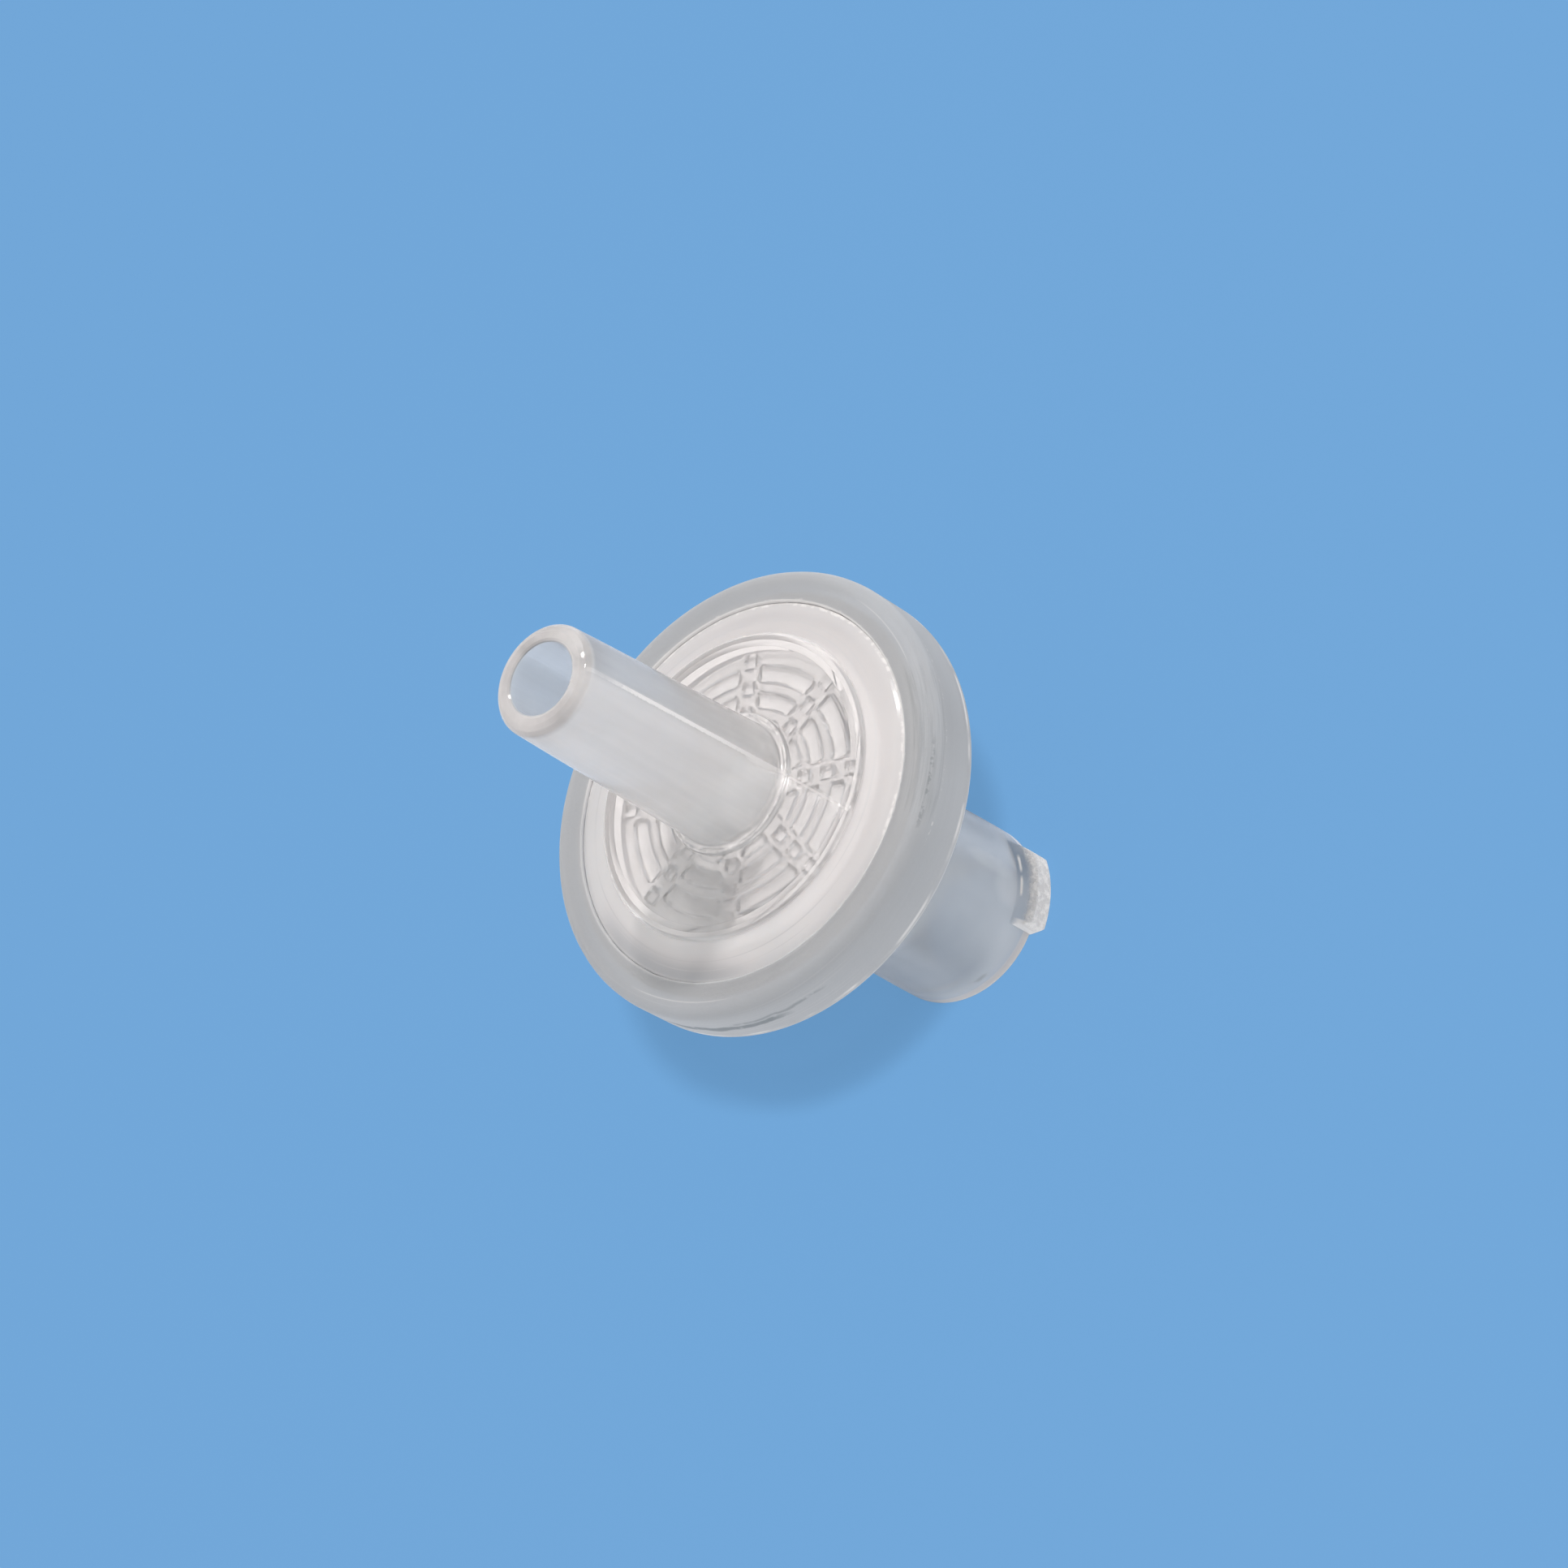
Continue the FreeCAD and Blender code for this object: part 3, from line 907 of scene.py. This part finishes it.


# %% [markdown]
# ## The ring's plastic
#
# The ring is a greyer plastic with turned marks all round. One part of its front was
# scored when the filter left the mould. A painted highlight shows where the front begins to
# round over, broken painted glints sit on the edge of its side, and a broken painted
# highlight runs near the rear edge. Two dark arcs lie lower down, the side is darker over
# one stretch, and a faint white band all round the lip is painted light over the shade of
# the gap to the land. Places are counted down from the front, in from the side and out from
# the lip.

# %% Ring plastic
def ring_finish():
    """Grey milk with turned marks, a scored part, painted highlights and glints, and dark arcs."""
    f = Finish("ring polypropylene")
    cloud = f.noise(0.35)
    fine = f.noise(9.0, 2.0, 0.6)
    turned = f.turned(0.3, 7.0)
    down = ring_top - f.z
    inwards = ring_radius - f.radius
    from_lip = f.radius - lip_radius
    front = down.step(0.82, 0.42)
    lip = (from_lip + f.noise(3.0, 3.0, 0.6) * 0.3).step(0.254, 0.134)
    # Painted light: a thin white band all round the lip's wall, over the shade of the gap to the land.
    lip = lip.larger(from_lip.step(0.094, 0.044))
    scored = f.facing(-22, 18, 7) * from_lip.step(0.234, 0.484) * down.step(0.82, 0.52)
    # Painted highlight where the front begins to round over, in two stretches.
    front_highlight = inwards.band(0.52, 0.55, 0.02) * front
    front_highlight = front_highlight * (f.facing(8, 45, 5) + f.facing(-125, -95, 5)) * 0.5
    # Painted glints, broken, along the edge of the side.
    glints = down.band(0.67, 0.74, 0.02) * f.facing(-26, 24, 5) * f.noise(7.0).step(0.50, 0.58)
    glints = glints * f.noise(1.3).step(0.38, 0.58)
    # Painted highlight, broken, near the rear edge.
    rear_highlight = down.band(1.96, 2.06, 0.04) * f.noise(0.8).step(0.35, 0.6) * 0.8
    # Partly crept plastic, partly painted light: the share all round is painted over the gap's shade.
    crept_and_gap_light = lip * front * (f.facing(*filled_side) * 0.65 + 0.2)
    scratches = f.turned(0.08, 12.0).step(0.60, 0.68) * f.facing(-150, -60, 12) * 0.15
    white = front_highlight + glints + rear_highlight + crept_and_gap_light + scratches + scored * turned.step(0.44, 0.34) * 0.1
    wandering = down - (f.noise(1.1) - 0.5) * 0.3
    # Two dark arcs lower down the side, with broken edges.
    dark_arcs = wandering.band(1.18, 1.46, 0.06) * f.facing(-120, -84, 4)
    dark_arcs = dark_arcs + wandering.band(0.96, 1.10, 0.07) * f.facing(-98, -72, 4) * 0.7
    dark_arcs = dark_arcs * f.noise(2.5).step(0.25, 0.5) * 0.85
    streaks = scored * (turned.step(0.40, 0.65) * (0.04 + fine * 0.22) + 0.07)
    strokes = inwards.band(0.09, 0.17, 0.03) * f.facing(-25, -4, 3) * f.noise(5.0).step(0.48, 0.6) * 0.4
    dark = dark_arcs.larger(streaks + strokes)
    milk = 0.84 + (cloud - 0.5) * 0.12 + (turned - 0.5) * 0.08
    colour = (cloud * 0.6 + fine * 0.4).tint((0.505, 0.52, 0.535), (0.565, 0.575, 0.585))
    # The side is darker over this stretch, below the front.
    darker_stretch = f.facing(-4, 60, 12) * down.step(0.37, 0.67)
    colour = darker_stretch.tint(colour, (0.43, 0.44, 0.45))
    marks, mark_colour = f.marks(white * 0.9, dark, (0.93, 0.915, 0.90), (0.22, 0.245, 0.26))
    height = turned * (0.5 + scored * 1.5) + fine
    return plastic(f, milk, colour, 0.4, 0.6, height, 0.005, marks, mark_colour)


# %% [markdown]
# ## Membrane finish
#
# The membrane is paper-white and dull, with the fine tooth of a porous sheet. Where the
# ribs and the posts press on it, it is squeezed thinner and looks greyer.

# %% Membrane finish
def membrane_finish():
    """White paper, greyer under the ribs and the posts, and painted whiter where the spout's shadow falls."""
    f = Finish("membrane")
    aside, from_post, from_rib = rib_distances(f)
    under_rib = from_rib.step(rib_width / 2, rib_width / 2 - 0.1)
    under_rib = under_rib * aside.step(channel_width / 2, channel_width / 2 + 0.175)
    under_post = 1 - from_post.larger(aside).step(post_width / 2 - 0.06, post_width / 2)
    ribbed = f.radius.band(rib_first_radius, chamber_radius - 0.1, 0.05)
    pressed = under_rib.larger(under_post) * ribbed
    grain = f.noise(20.0, 4.0, 0.7)
    paper = grain.tint((0.80, 0.79, 0.785), (0.86, 0.85, 0.845))
    # Painted light: whiter in the sector where the spout's shadow falls.
    paper = f.facing(*spout_shadow_sector).tint(paper, (0.93, 0.92, 0.915))
    colour = (pressed * 0.8).tint(paper, (0.70, 0.695, 0.695))
    bump = f.node("ShaderNodeBump", sockets={"Height": grain, "Strength": 1.0, "Distance": 0.004 * MM})
    return f.surface(f.node("ShaderNodeBsdfPrincipled", sockets={
        "Base Color": colour, "Roughness": 0.85, "Normal": bump}))


# %% [markdown]
# ## Into the frame
#
# Nothing on the filter moves, so every piece rides on its one body. Each takes the place
# of its solid. A slot name is listed with each piece, but nothing uses it.

# %% Give each piece its finish and its body
housing_slot = "clear_polypropylene"
for piece, node, material, slot in (
    (outlet, "outlet_housing", outlet_finish(), housing_slot),
    (inlet, "inlet_housing", inlet_finish(), housing_slot),
    (membrane, "filter_membrane", membrane_finish(), "membrane"),
    (ring, "sealing_ring", ring_finish(), "ring_polypropylene"),
):
    piece.data.materials.append(material)
    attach(piece, "root")
    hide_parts(node)
    print(piece.name, "stands for", node)

# %% [markdown]
# ## Lights
#
# A large soft light would hide the one thing that makes clear plastic look clear: its
# small sharp highlights. So the room is an even pale sky that does most of the work, a
# small key lamp gives the shadow of the spout on the disc, and another small lamp the
# glints on the lip and on the land. A third lamp lights the floor, where the filter's
# shadow falls. It would burn out the milky plastic, so each lamp lights its own things
# only.

# %% Lamps and sky
def direction(azimuth, elevation):
    """A unit vector from the angle round z and the angle above the floor, in degrees."""
    around, above = math.radians(azimuth), math.radians(elevation)
    return np.array((math.cos(above) * math.cos(around), math.cos(above) * math.sin(around), math.sin(above)))


disc_middle = np.array((0, 0, (ring_bottom + ring_top) / 2)) * MM


def add_lamp(name, azimuth, elevation, size, power, colour, distance=0.6):
    """A round lamp of a given width in metres, that looks at the middle of the disc."""
    data = bpy.data.lights.new(name, "AREA")
    data.shape = "DISK"
    data.size = size
    data.energy = power
    data.color = colour
    lamp = bpy.data.objects.new(name, data)
    bpy.context.scene.collection.objects.link(lamp)
    away = direction(azimuth, elevation)
    lamp.location = disc_middle + away * distance
    lamp.rotation_euler = Vector(away).to_track_quat("Z", "Y").to_euler()
    print(f"{name}: {power} W from {distance} m")
    return lamp


key_lamp = add_lamp("key_lamp", azimuth=62, elevation=63, size=0.035, power=1.15,
                    colour=(1.0, 0.95, 0.93))
glint_lamp = add_lamp("glint_lamp", azimuth=88.5, elevation=56.3, size=0.04, power=0.3,
                      colour=(1.0, 0.98, 0.96))
shadow_lamp = add_lamp("shadow_lamp", azimuth=-22, elevation=58, size=0.11, power=26.0,
                       colour=(1.0, 1.0, 1.0), distance=1.5)
sky = bpy.data.worlds.new("studio")
sky.use_nodes = True
sky_light = sky.node_tree.nodes["Background"]
sky_light.inputs["Color"].default_value = (0.985, 0.98, 0.99, 1)
sky_light.inputs["Strength"].default_value = 0.57
bpy.context.scene.world = sky

# %% [markdown]
# ## Floor
#
# The floor is a pale blue sheet. Seen by the camera, most of its light is its own, so it
# stays even, and the rest takes the filter's shadow. For the light that it throws back on
# the filter it is a quiet grey. Mirrored by the plastic or seen through it, the sheet is
# partly blue again.

# %% Make the floor
floor_blue = (0.171, 0.392, 0.701, 1)
floor_grey = (0.66, 0.665, 0.68, 1)
floor_glow = 0.86
glow_share = 0.8
share_past_plastic = 0.4


def floor_finish():
    """Blue for the camera, grey for scattered light, between the two by way of the plastic."""
    f = Finish("floor sheet")
    seen, mirrored, through = (f.node("ShaderNodeLightPath", output=ray) for ray in (0, 3, 6))
    shaded = f.node("ShaderNodeBsdfDiffuse", sockets={"Color": floor_blue})
    even = f.node("ShaderNodeEmission", sockets={"Color": floor_blue, "Strength": floor_glow})
    blue_sheet = f.node("ShaderNodeMixShader", sockets={0: glow_share, 1: shaded, 2: even})
    grey_sheet = f.node("ShaderNodeBsdfDiffuse", sockets={"Color": floor_grey})
    blue_share = seen.larger(mirrored.larger(through) * share_past_plastic)
    return f.surface(blue_share.blend(grey_sheet, blue_sheet))


bpy.ops.mesh.primitive_plane_add(size=3.0)
floor = bpy.context.object
floor.name = "floor"
floor.data.materials.append(floor_finish())

# %% [markdown]
# What a lamp lights is kept in a collection. Things outside it still throw shadows.

# %% Let each lamp light its own things
def light_only(lamps, things, name):
    """Lets the lamps light only the given things, which everything still shades."""
    lit = bpy.data.collections.new(name)
    for thing in things:
        lit.objects.link(thing)
    for lamp in lamps:
        lamp.light_linking.receiver_collection = lit


light_only([key_lamp, glint_lamp], [outlet, inlet, membrane, ring], "lit_by_key")
light_only([shadow_lamp], [floor], "lit_from_above")

# %% [markdown]
# ## Camera
#
# The camera looks down on the outlet side past the spout, and is rolled so that the
# spout points to the upper left. Its three axes follow from its azimuth, elevation and
# roll, and its angle of view from half the width that it sees at a distance of one.

# %% Make the camera
camera_azimuth, camera_elevation, camera_roll = -39.0, 46.23, -60.34
camera_place = np.array((90.02, -71.71, 131.46)) * MM
half_width_at_one = 0.161

back = direction(camera_azimuth, camera_elevation)
level = direction(camera_azimuth + 90, 0)
steep = np.cross(back, level)
roll = math.radians(camera_roll)
right = math.cos(roll) * level + math.sin(roll) * steep
up = np.cross(back, right)
camera_data = bpy.data.cameras.new("camera")
camera_data.angle = 2 * math.atan(half_width_at_one)
camera_data.clip_start = 0.01
camera = bpy.data.objects.new("camera", camera_data)
bpy.context.scene.collection.objects.link(camera)
axes = np.column_stack((right, up, back, camera_place))
camera.matrix_world = Matrix([*axes.tolist(), (0, 0, 0, 1)])
bpy.context.scene.camera = camera
bpy.context.scene.view_settings.view_transform = "Standard"
print(f"angle of view {math.degrees(camera_data.angle):.1f} degrees")
